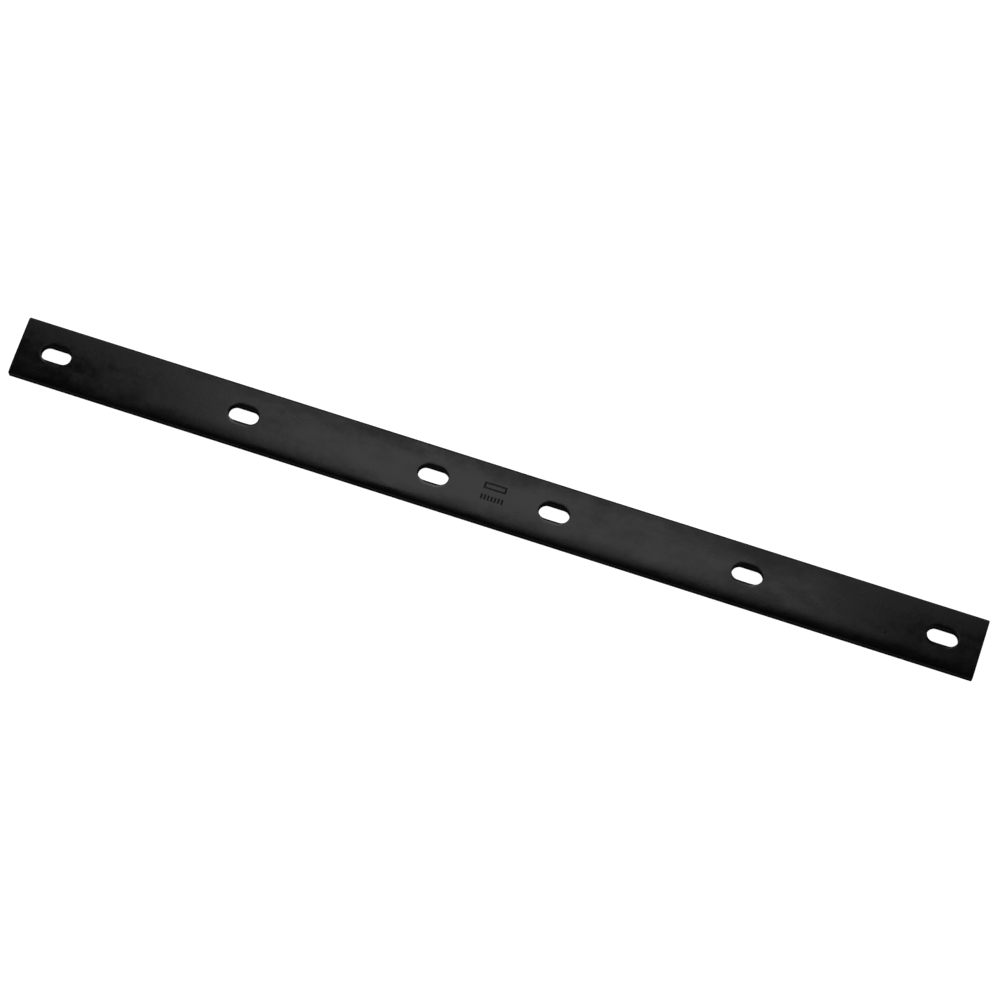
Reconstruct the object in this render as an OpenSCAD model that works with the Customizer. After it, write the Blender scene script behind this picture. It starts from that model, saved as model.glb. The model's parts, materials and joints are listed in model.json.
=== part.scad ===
// Replaceable wear bar (cutting edge) for an ATV snow plow.
// The bar lies on its back: +X along its length, +Y towards its top edge, +Z out of its front face.
// The origin is the centre of the back face, which bolts against the foot of the plow's curved blade.

/* [Bar] */
// Length of the bar, end to end
bar_length = 1213; // [1210:1:1600]
// Height of the bar, from its wearing edge to its top edge
bar_height = 76.2; // [70:0.1:120]
// Thickness of the bar
bar_thickness = 12.7; // [10:0.1:16]
// How far the nose starts rolling over above the wearing edge
nose_reach = 23; // [10:0.5:23]
// How far the nose falls back from the front face
nose_drop = 2.2; // [1.5:0.1:8]
// Radius along the front of the top edge
top_edge_radius = 3.6; // [0.5:0.1:4]
// Radius along the two edges of the back face
back_edge_radius = 1; // [0.2:0.1:1.1]
// Radius along the front and back edges of the two ends
end_edge_radius = 1.5; // [0.2:0.1:2]
// Radius of the four corners, looking at the front face
corner_radius = 1.5; // [0.5:0.1:6]

/* [Slots] */
// Number of slots on each side of the middle
slots_per_side = 3; // [1:1:3]
// Distance between the two slots next to the middle
middle_pitch = 152.4; // [120:0.1:160]
// Distance between neighbouring slots on each side
side_pitch = 241.3; // [200:0.1:245]
// Length of a slot where it is narrowest, end to end
slot_length = 38.1; // [30:0.1:50]
// Width of a slot where it is narrowest
slot_width = 19.05; // [12:0.05:25]
// Height of the slots' centre line above the middle of the bar
slot_rise = 1.1; // [0:0.1:3]
// How far the rolled lip along each slot's sides reaches across the front face
lip_reach = 5.6; // [1:0.1:6]
// How far the lip falls back from the front face
lip_drop = 1.3; // [0.5:0.1:3]
// Length over which the lip is at its widest, which is short enough for it to die out at the slot's ends
lip_run = 11; // [5:0.1:12]
// Radius of each slot's edge on the front face
slot_front_radius = 1; // [0.2:0.1:2]
// Radius of each slot's edge on the back face
slot_back_radius = 0.6; // [0.2:0.1:1.5]

/* [Stamped mark] */
// Depth of the mark
mark_depth = 0.8; // [0.2:0.1:1]
// Length of the mark's rectangular frame
frame_length = 28; // [15:0.5:60]
// Height of the frame
frame_height = 8.4; // [6:0.1:9]
// Width of the frame's line
frame_line = 2; // [0.6:0.1:2.4]
// Number of upright strokes under the frame
stroke_count = 7; // [1:1:9]
// Width of each stroke
stroke_width = 2; // [1:0.1:3]
// Height of each stroke
stroke_height = 6.6; // [2:0.1:8]
// Distance between neighbouring strokes
stroke_pitch = 4.3; // [3.5:0.1:6]

/* [Hidden] */

$fn = 96;
overrun = 1; // how far a cutter runs past a face
nose_chords = 16;
lip_chords = 8;
half_height = bar_height / 2;
wall_radius = slot_width / 2;
straight_length = slot_length - slot_width;
frame_y = 8.6; // centre line of the frame, above the middle of the bar
strokes_y = -6.4; // centre line of the strokes

slot_places = [
    for (side = [-1, 1], i = [0 : slots_per_side - 1])
        side * (middle_pitch / 2 + i * side_pitch)
];

// The corner between two straight edges, less a quarter circle: what a rounding removes.
// The corner is at the origin, and the material lies towards +X and +Y.
module corner_waste(r) {
    difference() {
        translate([-overrun, -overrun]) square(r + overrun);
        translate([r, r]) circle(r);
    }
}

// The same for a rolled edge, which is a quarter ellipse drawn as chords.
module roll_waste(reach, drop, chords) {
    roll = [
        for (i = [0 : chords]) let (angle = 90 * i / chords)
            [reach * (1 - sin(angle)), drop * (1 - cos(angle))]
    ];
    polygon(concat([[-overrun, -overrun], [reach, -overrun]], roll, [[-overrun, drop]]));
}

// Cross-section of the bar, with its height along X and its thickness along Y.
module section() {
    difference() {
        translate([-half_height, 0]) square([bar_height, bar_thickness]);
        translate([-half_height, bar_thickness]) mirror([0, 1])
            roll_waste(nose_reach, nose_drop, nose_chords);
        translate([half_height, bar_thickness]) rotate(180) corner_waste(top_edge_radius);
        translate([-half_height, 0]) corner_waste(back_edge_radius);
        translate([half_height, 0]) mirror([1, 0]) corner_waste(back_edge_radius);
    }
}

// The bar's long body, rounded along its edges, with square ends.
module rolled_body() {
    rotate([90, 0, 90])
        linear_extrude(bar_length, center = true) section();
}

// A rectangle with four round corners, centred on the origin.
module round_rectangle(size, r) {
    difference() {
        square(size, center = true);
        for (a = [0, 1], b = [0, 1])
            mirror([a, 0]) mirror([0, b])
                translate([-size.x / 2, -size.y / 2]) corner_waste(r);
    }
}

// The outline of the front face, run through the bar's thickness.
module face_block() {
    translate([0, 0, -overrun])
        linear_extrude(bar_thickness + 2 * overrun)
            round_rectangle([bar_length, bar_height], corner_radius);
}

// The outline of the bar seen along its height, run through that height.
module end_block() {
    translate([0, half_height + overrun, bar_thickness / 2]) rotate([90, 0, 0])
        linear_extrude(bar_height + 2 * overrun)
            round_rectangle([bar_length, bar_thickness], end_edge_radius);
}

// A space of one outline: a profile carried along two straight sides and round two half-circle ends.
// The straight sides run along X, and the profile has its distance from the middle line along X.
module slot_sweep(run) {
    for (side = [0, 1]) {
        mirror([side, 0, 0]) translate([run / 2, 0, 0])
            rotate([0, 0, -90]) rotate_extrude(angle = 180) children();
        mirror([0, side, 0]) translate([-run / 2, 0, 0]) rotate([90, 0, 90])
            linear_extrude(run) children();
    }
}

// Half of a slot's cross-section: the straight wall, with a round edge at the front and the back.
module wall_profile() {
    translate([0, -overrun]) square([wall_radius, bar_thickness + 2 * overrun]);
    translate([wall_radius, bar_thickness]) mirror([0, 1]) corner_waste(slot_front_radius);
    translate([wall_radius, 0]) corner_waste(slot_back_radius);
}

// Half of the lip's cross-section, from the slot's middle line out across the front face.
module lip_profile() {
    translate([0, bar_thickness - lip_drop]) square([wall_radius, lip_drop + overrun]);
    translate([wall_radius, bar_thickness]) mirror([0, 1])
        roll_waste(lip_reach, lip_drop, lip_chords);
}

// The space of one slot with its lip, centred on the origin.
module slot_space() {
    slot_sweep(straight_length) wall_profile();
    slot_sweep(lip_run) lip_profile();
}

// The space of the stamped mark: a plain frame over a row of upright strokes.
module mark_space() {
    translate([0, 0, bar_thickness - mark_depth]) linear_extrude(mark_depth + overrun) {
        translate([0, frame_y]) difference() {
            square([frame_length, frame_height], center = true);
            square([frame_length - 2 * frame_line, frame_height - 2 * frame_line], center = true);
        }
        for (i = [0 : stroke_count - 1])
            translate([(i - (stroke_count - 1) / 2) * stroke_pitch, strokes_y])
                square([stroke_width, stroke_height], center = true);
    }
}

// The whole bar, which is one piece of steel.
module wear_bar() {
    color([0.07, 0.07, 0.075]) difference() {
        intersection() {
            rolled_body();
            face_block();
            end_block();
        }
        for (x = slot_places) translate([x, slot_rise, 0]) slot_space();
        mark_space();
    }
}

wear_bar();
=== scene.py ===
import json
from math import cos, hypot, pi, radians, sin, sqrt

import bmesh
import bpy
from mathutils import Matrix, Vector


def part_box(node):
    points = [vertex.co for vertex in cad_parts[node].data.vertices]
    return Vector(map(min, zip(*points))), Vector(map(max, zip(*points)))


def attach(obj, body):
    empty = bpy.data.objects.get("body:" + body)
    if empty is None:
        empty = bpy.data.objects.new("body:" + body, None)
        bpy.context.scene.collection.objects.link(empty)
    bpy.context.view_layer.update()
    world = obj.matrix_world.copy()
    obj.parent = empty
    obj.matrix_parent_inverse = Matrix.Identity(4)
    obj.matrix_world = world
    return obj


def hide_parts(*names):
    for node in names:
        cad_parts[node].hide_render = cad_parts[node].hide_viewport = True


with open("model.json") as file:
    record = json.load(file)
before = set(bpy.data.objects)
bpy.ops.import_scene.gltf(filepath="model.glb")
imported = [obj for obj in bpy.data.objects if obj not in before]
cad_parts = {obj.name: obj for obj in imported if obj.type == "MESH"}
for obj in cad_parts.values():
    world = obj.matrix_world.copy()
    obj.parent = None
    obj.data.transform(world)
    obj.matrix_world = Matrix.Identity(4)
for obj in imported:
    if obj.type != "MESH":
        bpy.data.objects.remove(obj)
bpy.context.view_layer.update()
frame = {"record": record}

MM = 0.001

# ---------------------------------------------------------------- sizes
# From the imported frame, in metres
low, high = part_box("wear_bar")
HALF_LENGTH = (high.x - low.x) / 2
HALF_HEIGHT = (high.y - low.y) / 2
THICKNESS = high.z - low.z
SLOT_MOUNTS = [m for m in frame["record"]["mounts"] if m["kind"] == "bolt_pattern"]
SLOT_DIMS = SLOT_MOUNTS[0]["dims"]
WALL_RADIUS = SLOT_DIMS["hole_r_mm"] * MM
SLOT_HALF_RUN = SLOT_DIMS["slot_length_mm"] * MM / 2 - WALL_RADIUS
SLOT_Y = SLOT_MOUNTS[0]["pos_m"][1]
SLOT_PLACES = sorted(side * m["dims"]["spacing_x_mm"] * MM / 2 for m in SLOT_MOUNTS for side in (-1, 1))

# Rolled and rounded edges, as in the CAD model
NOSE_REACH, NOSE_DROP = 23 * MM, 2.2 * MM
TOP_RADIUS = 3.6 * MM
BACK_RADIUS = 1.0 * MM
END_RADIUS = 1.5 * MM
LIP_REACH, LIP_DROP = 5.6 * MM, 1.3 * MM
LIP_HALF_RUN = 5.5 * MM
SLOT_FRONT_RADIUS = 1.0 * MM
SLOT_BACK_RADIUS = 0.6 * MM

# Stamped mark, as in the CAD model
MARK_DEPTH = 0.8 * MM
MARK_BEVEL = 0.95 * MM
FRAME_SIZE = (28 * MM, 8.4 * MM)
FRAME_LINE = 2.0 * MM
FRAME_Y = 8.6 * MM
STROKE_SIZE = (2.0 * MM, 6.6 * MM)
STROKE_PITCH = 4.3 * MM
STROKE_COUNT = 7
STROKES_Y = -6.4 * MM

# How finely the mesh is cut
ARC_STEPS = 32  # round a slot's end, and up the flat of the face
RUN_STEPS = 8  # along a slot
NOSE_STEPS = 24
LIP_STEPS = 14
EDGE_STEPS = 6
BEVEL_STEPS = 3
PLAIN_STEP = 9 * MM
CELL_MARGIN = 9 * MM  # flat face kept beside each slot's lip
MARK_MARGIN = 4 * MM
PAD = 0.8 * MM  # flat ring kept round a rounded edge, so that its shading stays clean
MERGE = 1e-6


# ---------------------------------------------------------------- the bar's mesh
def spread(a, b, steps):
    """Evenly spaced values from a to b, with both ends."""
    return [a + (b - a) * i / steps for i in range(steps + 1)]


def quarter(centre, reach, rise, start, steps):
    """Points on a quarter ellipse, clockwise from the angle start, in degrees."""
    angles = [radians(a) for a in spread(start, start - 90, steps)]
    return [(centre[0] + reach * cos(a), centre[1] + rise * sin(a)) for a in angles]


def section_parts():
    """The cross-section as (y, z) runs: up the face, over the top, down the back, round the nose."""
    h, t, r, b = HALF_HEIGHT, THICKNESS, TOP_RADIUS, BACK_RADIUS
    face = [(y, t) for y in spread(NOSE_REACH - h, h - r, ARC_STEPS)]
    over = quarter((h - r, t - r), r, r, 90, EDGE_STEPS) + quarter((h - b, b), b, b, 0, EDGE_STEPS)
    back = [(y, 0.0) for y in spread(h - b, b - h, ARC_STEPS)]
    heel = quarter((b - h, b), b, b, 270, EDGE_STEPS)
    nose = quarter((NOSE_REACH - h, t - NOSE_DROP), NOSE_REACH, NOSE_DROP, 180, NOSE_STEPS)
    return face, over, back, heel + nose


FACE, OVER, BACK, NOSE = section_parts()


def at_column(points, x):
    """Section points placed at x, drawn in where the column is inside an end's rounding."""
    past = max(0.0, abs(x) - (HALF_LENGTH - END_RADIUS))
    inset = END_RADIUS - sqrt(max(0.0, END_RADIUS ** 2 - past ** 2))
    middle = THICKNESS / 2
    ky, kz = 1 - inset / HALF_HEIGHT, 1 - inset / middle
    return [Vector((x, y * ky, middle + (z - middle) * kz)) for y, z in points]


def add_strip(bm, rows):
    """Quads between neighbouring rows of points, all rows being the same length."""
    verts = [[bm.verts.new(p) for p in row] for row in rows]
    for a, b in zip(verts, verts[1:]):
        for i in range(len(a) - 1):
            bm.faces.new((a[i], b[i], b[i + 1], a[i + 1]))


def stadium(half_run, radius, z=0.0):
    """A slot-shaped outline about the origin, as a closed loop from its lower left."""
    run = spread(-half_run, half_run, RUN_STEPS)[:-1]
    turn = [radians(a) for a in spread(-90, 90, ARC_STEPS)][:-1]
    loop = [(x, -radius) for x in run]
    loop += [(half_run + radius * cos(a), radius * sin(a)) for a in turn]
    loop += [(-x, radius) for x in run]
    loop += [(-half_run - radius * cos(a), -radius * sin(a)) for a in turn]
    return [Vector((x, y, z)) for x, y in loop]


def cell_loop(columns, run):
    """The edge of a patch of one flat face, as a closed loop from its lower left."""
    y_low, y_high, z = run[0][0], run[-1][0], run[0][1]
    loop = [(x, y_low) for x in columns[:-1]]
    loop += [(columns[-1], y) for y, _ in run[:-1]]
    loop += [(x, y_high) for x in columns[:0:-1]]
    loop += [(columns[0], y) for y, _ in run[:0:-1]]
    return [Vector((x, y, z)) for x, y in loop]


def halfway(loop_a, loop_b):
    """The loop midway between two loops of the same length."""
    return [(a + b) / 2 for a, b in zip(loop_a, loop_b)]


def roll(reached, reach, drop):
    """How far a rolled edge has fallen, a given distance in from where it starts."""
    u = min(1.0, max(0.0, reached / reach))
    return drop * (1 - sqrt(1 - u * u))


def beyond(point, half_run):
    """A point's distance from the middle line of a slot shape with this half run."""
    return hypot(max(0.0, abs(point.x) - half_run), point.y)


def lip_point(rim, outline, t):
    """A point of the front face round a slot, from the lip's rim at t = 0 to the slot's wall at t = 1."""
    p = rim.lerp(outline, t)
    into_lip = WALL_RADIUS + LIP_REACH - beyond(p, LIP_HALF_RUN)
    into_edge = WALL_RADIUS + SLOT_FRONT_RADIUS - beyond(p, SLOT_HALF_RUN)
    fall = max(roll(into_lip, LIP_REACH, LIP_DROP), roll(into_edge, SLOT_FRONT_RADIUS, SLOT_FRONT_RADIUS))
    return Vector((p.x, p.y, THICKNESS - fall))


def add_slot(bm, centre_x, columns):
    """One slot: the flat round it, its rolled lip, its wall, its back edge and the flat behind."""
    place = Vector((centre_x, SLOT_Y, 0))
    outer_face, outer_back = cell_loop(columns, FACE), cell_loop(columns, BACK[::-1])
    rim = stadium(LIP_HALF_RUN, WALL_RADIUS + LIP_REACH, THICKNESS)
    outline = stadium(SLOT_HALF_RUN, WALL_RADIUS, THICKNESS)
    apron = [p + place for p in stadium(LIP_HALF_RUN, WALL_RADIUS + LIP_REACH + PAD, THICKNESS)]
    loops = [outer_face, halfway(outer_face, apron), apron]
    for a in spread(0, pi / 2, LIP_STEPS):
        loops.append([lip_point(r, o, sin(a)) + place for r, o in zip(rim, outline)])
    r = SLOT_BACK_RADIUS
    for offset, z in quarter((r, r), r, r, 270, EDGE_STEPS)[::-1]:
        loops.append([p + place for p in stadium(SLOT_HALF_RUN, WALL_RADIUS + offset, z)])
    sill = [p + place for p in stadium(SLOT_HALF_RUN, WALL_RADIUS + r + PAD)]
    loops += [sill, halfway(outer_back, sill), outer_back]
    rows = [loop + loop[:1] for loop in loops]
    add_strip(bm, [list(row) for row in zip(*rows)])


def bevel_lines(edges):
    """Grid lines on each edge of the mark, and beside it on both sides, less those that nearly meet."""
    steps = spread(-MARK_BEVEL, MARK_BEVEL, 2 * BEVEL_STEPS)
    closest = MARK_BEVEL / BEVEL_STEPS / 3  # a third of a step
    lines = sorted(e + s for e in edges for s in steps)
    kept = lines[:1]
    for value in lines[1:]:
        if value - kept[-1] > closest:
            kept.append(value)
    return kept


def inside(x, y, centre, size):
    """How far a point is inside a rectangle's edge; negative outside it."""
    return min(size[0] / 2 - abs(x - centre[0]), size[1] / 2 - abs(y - centre[1]))


def stroke_places():
    """The strokes' centres along the bar."""
    return [(i - (STROKE_COUNT - 1) / 2) * STROKE_PITCH for i in range(STROKE_COUNT)]


def mark_depth(x, y):
    """Depth of the stamped mark at a point: a plain frame over a row of upright strokes."""
    hole = tuple(s - 2 * FRAME_LINE for s in FRAME_SIZE)
    reached = min(inside(x, y, (0, FRAME_Y), FRAME_SIZE), -inside(x, y, (0, FRAME_Y), hole))
    for stroke_x in stroke_places():
        reached = max(reached, inside(x, y, (stroke_x, STROKES_Y), STROKE_SIZE))
    k = min(1.0, max(0.0, reached / MARK_BEVEL))
    return MARK_DEPTH * k * k * (3 - 2 * k)


def add_mark(bm, columns):
    """The flat of the face between the middle slots, with the stamped mark pressed into it."""
    half_x, half_y = FRAME_SIZE[0] / 2, FRAME_SIZE[1] / 2
    across = [side * s for side in (-1, 1) for s in (half_x, half_x - FRAME_LINE)]
    across += [x + side * STROKE_SIZE[0] / 2 for x in stroke_places() for side in (-1, 1)]
    up = [FRAME_Y + side * s for side in (-1, 1) for s in (half_y, half_y - FRAME_LINE)]
    up += [STROKES_Y + side * STROKE_SIZE[1] / 2 for side in (-1, 1)]
    xs, ys = bevel_lines(across), bevel_lines(up)
    add_strip(bm, [[Vector((x, y, THICKNESS - mark_depth(x, y))) for y in ys] for x in xs])
    edges = []
    for loop in (cell_loop(columns, FACE), cell_loop(xs, [(y, THICKNESS) for y in ys])):
        verts = [bm.verts.new(p) for p in loop]
        edges += [bm.edges.new(pair) for pair in zip(verts, verts[1:] + verts[:1])]
    bmesh.ops.triangle_fill(bm, use_beauty=True, edges=edges)


def column_spans():
    """The bar's length as (kind, columns) spans: the ends, the slots, the mark and the plain runs."""
    half_cell = SLOT_HALF_RUN + WALL_RADIUS + LIP_REACH + CELL_MARGIN
    half_mark = max(FRAME_SIZE[0], STROKE_COUNT * STROKE_PITCH) / 2 + MARK_MARGIN
    stops = [("slot", x - half_cell, x + half_cell) for x in SLOT_PLACES]
    stops = sorted(stops + [("mark", -half_mark, half_mark)], key=lambda stop: stop[1])
    inner_end = HALF_LENGTH - END_RADIUS
    turn = [inner_end + END_RADIUS * sin(a) for a in spread(0, pi / 2, EDGE_STEPS)]
    spans = [("end", [-x for x in turn[::-1]])]
    x = -inner_end
    for kind, start, stop in stops + [("end", inner_end, HALF_LENGTH)]:
        spans.append(("plain", spread(x, start, max(1, round((start - x) / PLAIN_STEP)))))
        spans.append((kind, turn if kind == "end" else spread(start, stop, RUN_STEPS)))
        x = stop
    return spans


def turned(normal):
    """From 0 on a flat or a wall to 1 in the middle of a rounded edge between them."""
    level = max(abs(normal.z), hypot(normal.x, normal.y))
    level_halfway = sqrt(0.5)
    return (1 - level) / (1 - level_halfway)


def bar_mesh():
    """The whole bar as one closed mesh, with how far each point is round an edge in its "edge" layer."""
    bm = bmesh.new()
    places = iter(SLOT_PLACES)
    for kind, columns in column_spans():
        runs = [FACE[-1:] + OVER[1:], NOSE]
        if kind not in ("slot", "mark"):
            runs.append(FACE)
        if kind != "slot":
            runs.append(BACK)
        for run in runs:
            add_strip(bm, [at_column(run, x) for x in columns])
        if kind == "slot":
            add_slot(bm, next(places), columns)
        if kind == "mark":
            add_mark(bm, columns)
    for x in (-HALF_LENGTH, HALF_LENGTH):
        ring = FACE + OVER[1:] + BACK[1:] + NOSE[1:-1]
        bm.faces.new([bm.verts.new(p) for p in at_column(ring, x)])
    bmesh.ops.remove_doubles(bm, verts=bm.verts, dist=MERGE)
    bmesh.ops.recalc_face_normals(bm, faces=bm.faces)
    bm.normal_update()
    edge = bm.verts.layers.float.new("edge")
    for v in bm.verts:
        v[edge] = turned(v.normal)
    for f in bm.faces:
        f.smooth = True
    mesh = bpy.data.meshes.new("wear_bar_skin")
    bm.to_mesh(mesh)
    bm.free()
    return mesh


# ---------------------------------------------------------------- node trees
class Nodes:
    """Short names for building the node tree of a material or a world."""

    def __init__(self, owner):
        self.owner = owner
        owner.use_nodes = True
        self.tree = owner.node_tree

    def add(self, kind, inputs=(), **settings):
        """A new node; inputs maps a socket's name or number to a value or to another node's output."""
        node = self.tree.nodes.new(kind)
        for key, value in settings.items():
            setattr(node, key, value)
        self.fill(node, inputs)
        return node

    def fill(self, node, inputs):
        """Give a node's inputs their values, or link other nodes' outputs to them."""
        for key, value in dict(inputs).items():
            if isinstance(value, bpy.types.NodeSocket):
                self.tree.links.new(value, node.inputs[key])
            else:
                node.inputs[key].default_value = value

    def noise(self, where, scale, detail, roughness=0.5):
        inputs = {"Vector": where, "Scale": scale, "Detail": detail, "Roughness": roughness}
        return self.add("ShaderNodeTexNoise", inputs).outputs["Fac"]

    def span(self, value, low, high, to_low, to_high, kind="LINEAR"):
        """The value between low and high, moved to the range from to_low to to_high."""
        inputs = {"Value": value, "From Min": low, "From Max": high, "To Min": to_low, "To Max": to_high}
        return self.add("ShaderNodeMapRange", inputs, interpolation_type=kind).outputs["Result"]

    def maths(self, operation, a, b=0.0):
        return self.add("ShaderNodeMath", {0: a, 1: b}, operation=operation).outputs[0]

    def total(self, values):
        """The sum of several outputs."""
        result = values[0]
        for value in values[1:]:
            result = self.maths("ADD", result, value)
        return result

    def blend(self, amount, a, b):
        """Colour a where the amount is 0, and colour b where it is 1."""
        mix = self.add("ShaderNodeMixRGB", {"Fac": amount, "Color1": a, "Color2": b})
        return mix.outputs["Color"]

    def bump(self, height, strength, distance, under=None):
        inputs = {"Height": height, "Strength": strength, "Distance": distance}
        if under:
            inputs["Normal"] = under
        return self.add("ShaderNodeBump", inputs).outputs["Normal"]


# ---------------------------------------------------------------- materials
BLACK, PALER_BLACK = (0.0022, 0.0022, 0.0024, 1), (0.007, 0.007, 0.0074, 1)
# paler colour on rounded edges: partly a thin, worn coat, partly a painted edge highlight
THIN_COAT_AND_HIGHLIGHT = (0.03, 0.03, 0.032, 1)
THIN_COAT_AND_HIGHLIGHT_AMOUNT = 0.5  # how much of the thin coat's paler colour shows on a worn rounded edge, partly a painted edge highlight
WHITE, FLOOR_WHITE = (1, 1, 1, 1), (0.9, 0.9, 0.9, 1)
ALONG = (0.45, 1, 1)  # stretches the clouds and blotches along the bar

# Scales of the noises in the coat, from the largest marks to the finest
CLOUDS, BLOTCHES, PATCHES, WEAR_AND_HIGHLIGHT_SPOTS, PEEL, GRAIN = 22, 60, 110, 240, 340, 2600

# What each adds to the roughness: a range of the noise, then the range of roughness that it gives
CLOUD_ROUGHNESS = (0.33, 0.67, 0.17, 0.25)
BLOTCH_ROUGHNESS = (0.3, 0.7, -0.045, 0.045)
PATCH_ROUGHNESS = (0.35, 0.65, -0.025, 0.025)
GRAIN_ROUGHNESS = (0.3, 0.7, -0.04, 0.04)
TOP_ROUGHNESS = (0.2 * HALF_HEIGHT, HALF_HEIGHT, 0, 0.17)  # by height: duller towards the top edge
WORN_ROUGHNESS = -0.03

# In the same way, how worn an edge is, which also paints a highlight on it, and how much of the paler
# black a blotch has
WEAR_AND_HIGHLIGHT_RANGE = (0.42, 0.62, 0, 1)
PALER_RANGE = (0.35, 0.65, 1, 0)

# Strength and height of the bumps
BLOTCH_BUMP = (0.6, 0.15 * MM)
PEEL_BUMP = (0.6, 0.06 * MM)
GRAIN_BUMP = (0.15, 0.02 * MM)


def coating():
    """Black satin powder coat: cloudy gloss, orange peel, fine grain, and a paler thin coat on rounded
    edges that is partly wear and partly a painted edge highlight.
    """
    n = Nodes(bpy.data.materials.new("black_powder_coat"))
    where = n.add("ShaderNodeTexCoord").outputs["Object"]
    along = n.add("ShaderNodeMapping", {"Vector": where, "Scale": ALONG}).outputs["Vector"]
    height = n.add("ShaderNodeSeparateXYZ", {"Vector": where}).outputs["Y"]
    cloud = n.noise(along, CLOUDS, detail=3, roughness=0.55)
    blotch = n.noise(along, BLOTCHES, detail=2)
    patch = n.noise(where, PATCHES, detail=2)
    peel = n.noise(where, PEEL, detail=3)
    grain = n.noise(where, GRAIN, detail=2)
    spots = n.noise(where, WEAR_AND_HIGHLIGHT_SPOTS, detail=4, roughness=0.65)
    edge = n.add("ShaderNodeAttribute", attribute_name="edge").outputs["Fac"]
    # where the rounded edges are worn; the paler colour this gives them is partly a painted edge
    # highlight
    wear_and_highlight = n.maths("MULTIPLY", edge, n.span(spots, *WEAR_AND_HIGHLIGHT_RANGE))

    roughness = n.total([
        n.span(cloud, *CLOUD_ROUGHNESS),
        n.span(blotch, *BLOTCH_ROUGHNESS),
        n.span(patch, *PATCH_ROUGHNESS),
        n.span(grain, *GRAIN_ROUGHNESS),
        n.span(height, *TOP_ROUGHNESS),
        n.maths("MULTIPLY", wear_and_highlight, WORN_ROUGHNESS),
    ])
    shade = n.blend(n.span(blotch, *PALER_RANGE), BLACK, PALER_BLACK)
    skin = n.bump(blotch, *BLOTCH_BUMP)
    skin = n.bump(peel, *PEEL_BUMP, under=skin)
    skin = n.bump(grain, *GRAIN_BUMP, under=skin)
    n.fill(n.tree.nodes["Principled BSDF"], {
        # base colour: blotchy black, paler on worn rounded edges, which is partly a painted edge
        # highlight
        "Base Color": n.blend(n.maths("MULTIPLY", wear_and_highlight, THIN_COAT_AND_HIGHLIGHT_AMOUNT), shade, THIN_COAT_AND_HIGHLIGHT),
        "Roughness": roughness,
        "Normal": skin,
    })
    return n.owner


def floor_material():
    """A white floor that glows evenly, and that isn't there when seen from below."""
    n = Nodes(bpy.data.materials.new("pale_floor"))
    top = n.tree.nodes["Principled BSDF"]
    n.fill(top, {
        "Base Color": FLOOR_WHITE,
        "Roughness": 1.0,
        "Specular IOR Level": 0.0,
        "Emission Color": WHITE,
        "Emission Strength": 1.0,
    })
    below = n.add("ShaderNodeNewGeometry").outputs["Backfacing"]
    clear = n.add("ShaderNodeBsdfTransparent").outputs["BSDF"]
    sides = n.add("ShaderNodeMixShader", {0: below, 1: top.outputs["BSDF"], 2: clear})
    n.fill(n.tree.nodes["Material Output"], {"Surface": sides.outputs["Shader"]})
    return n.owner


# ---------------------------------------------------------------- the bar
scene = bpy.context.scene
bar = bpy.data.objects.new("wear_bar_skin", bar_mesh())
scene.collection.objects.link(bar)
bar.data.materials.append(coating())
shading = bar.modifiers.new("flat faces lead the shading", "WEIGHTED_NORMAL")
shading.mode = "FACE_AREA"
shading.weight = 100
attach(bar, "root")
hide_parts("wear_bar")

# ---------------------------------------------------------------- stage
FLOOR_HALF = 6.0
FLOOR_GAP = 0.5 * MM
LIGHT_COLOUR = (0.985, 0.985, 1.0)
HORIZON_GLOW, ZENITH_GLOW = 0.35, 0.008
FADE_UP, FADE_DOWN = (0.5, 0.87), (-0.85, 0.1)  # where it fades, as the Z of a direction of length 1


def add_floor():
    """A square floor just under the bar, which reflections don't show."""
    signs = (-1, -1), (1, -1), (1, 1), (-1, 1)
    corners = [(x * FLOOR_HALF, y * FLOOR_HALF, -FLOOR_GAP) for x, y in signs]
    mesh = bpy.data.meshes.new("floor")
    mesh.from_pydata(corners, [], [(0, 1, 2, 3)])
    mesh.materials.append(floor_material())
    floor = bpy.data.objects.new("floor", mesh)
    floor.visible_glossy = False
    scene.collection.objects.link(floor)


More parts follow.
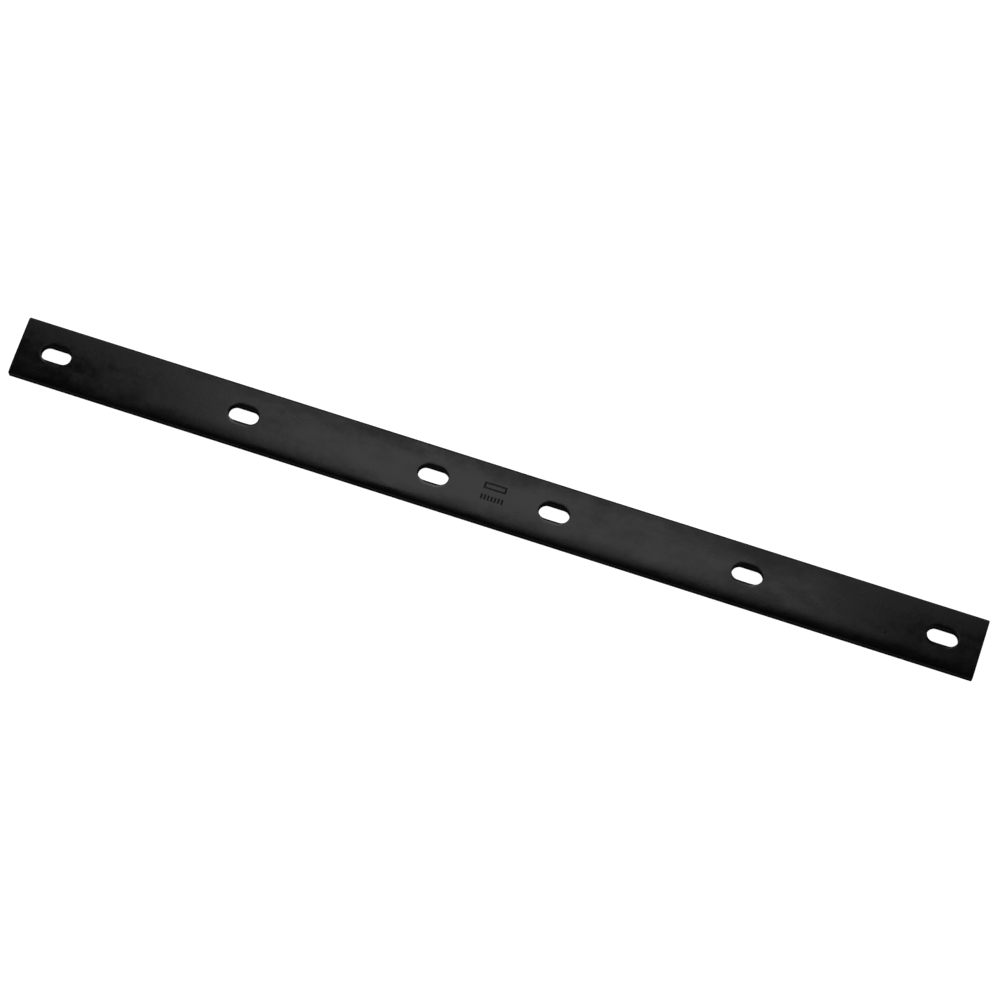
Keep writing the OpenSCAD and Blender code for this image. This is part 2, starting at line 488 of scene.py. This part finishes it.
def studio_world():
    """White to the camera; to the bar, a dim glow that fades to black overhead and underneath."""
    n = Nodes(bpy.data.worlds.new("studio"))
    direction = n.add("ShaderNodeTexCoord").outputs["Generated"]
    level = n.add("ShaderNodeSeparateXYZ", {"Vector": direction}).outputs["Z"]
    fade_up = n.span(level, *FADE_UP, HORIZON_GLOW, ZENITH_GLOW, "SMOOTHSTEP")
    fade_down = n.span(level, *FADE_DOWN, ZENITH_GLOW, HORIZON_GLOW, "SMOOTHSTEP")
    to_camera = n.add("ShaderNodeLightPath").outputs["Is Camera Ray"]
    strength = n.maths("MAXIMUM", n.maths("MINIMUM", fade_up, fade_down), to_camera)
    n.fill(n.tree.nodes["Background"], {"Color": WHITE, "Strength": strength})
    return n.owner


def add_light(name, place, size, power):
    """A soft rectangular light aimed at the middle of the bar."""
    data = bpy.data.lights.new(name, "AREA")
    data.shape = "RECTANGLE"
    data.size, data.size_y = size
    data.energy = power
    data.color = LIGHT_COLOUR
    lamp = bpy.data.objects.new(name, data)
    lamp.location = place
    lamp.rotation_mode = "QUATERNION"
    lamp.rotation_quaternion = (-Vector(place)).to_track_quat("-Z", "Y")
    scene.collection.objects.link(lamp)


add_floor()
scene.world = studio_world()
add_light("overhead_softbox", place=(-0.3445, 1.2434, 3.0), size=(1.38, 1.5), power=7.3)
add_light("back_strip", place=(-0.33, 1.53, 2.86), size=(1.38, 0.34), power=3.6)

# ---------------------------------------------------------------- camera
AZIMUTH, ELEVATION, DISTANCE = radians(18.507), radians(71.428), 4.2517
AIM = Vector((9.84 * MM, -3.94 * MM, THICKNESS))
SENSOR_WIDTH, FOCAL_LENGTH = 36, 128.2
toward_camera = Vector((sin(AZIMUTH) * cos(ELEVATION), -cos(AZIMUTH) * cos(ELEVATION), sin(ELEVATION)))
lens = bpy.data.cameras.new("camera")
lens.sensor_width = SENSOR_WIDTH
lens.lens = FOCAL_LENGTH
camera = bpy.data.objects.new("camera", lens)
camera.location = AIM + DISTANCE * toward_camera
camera.rotation_mode = "QUATERNION"
camera.rotation_quaternion = (-toward_camera).to_track_quat("-Z", "Y")
scene.collection.objects.link(camera)
scene.camera = camera
scene.view_settings.view_transform = "Standard"
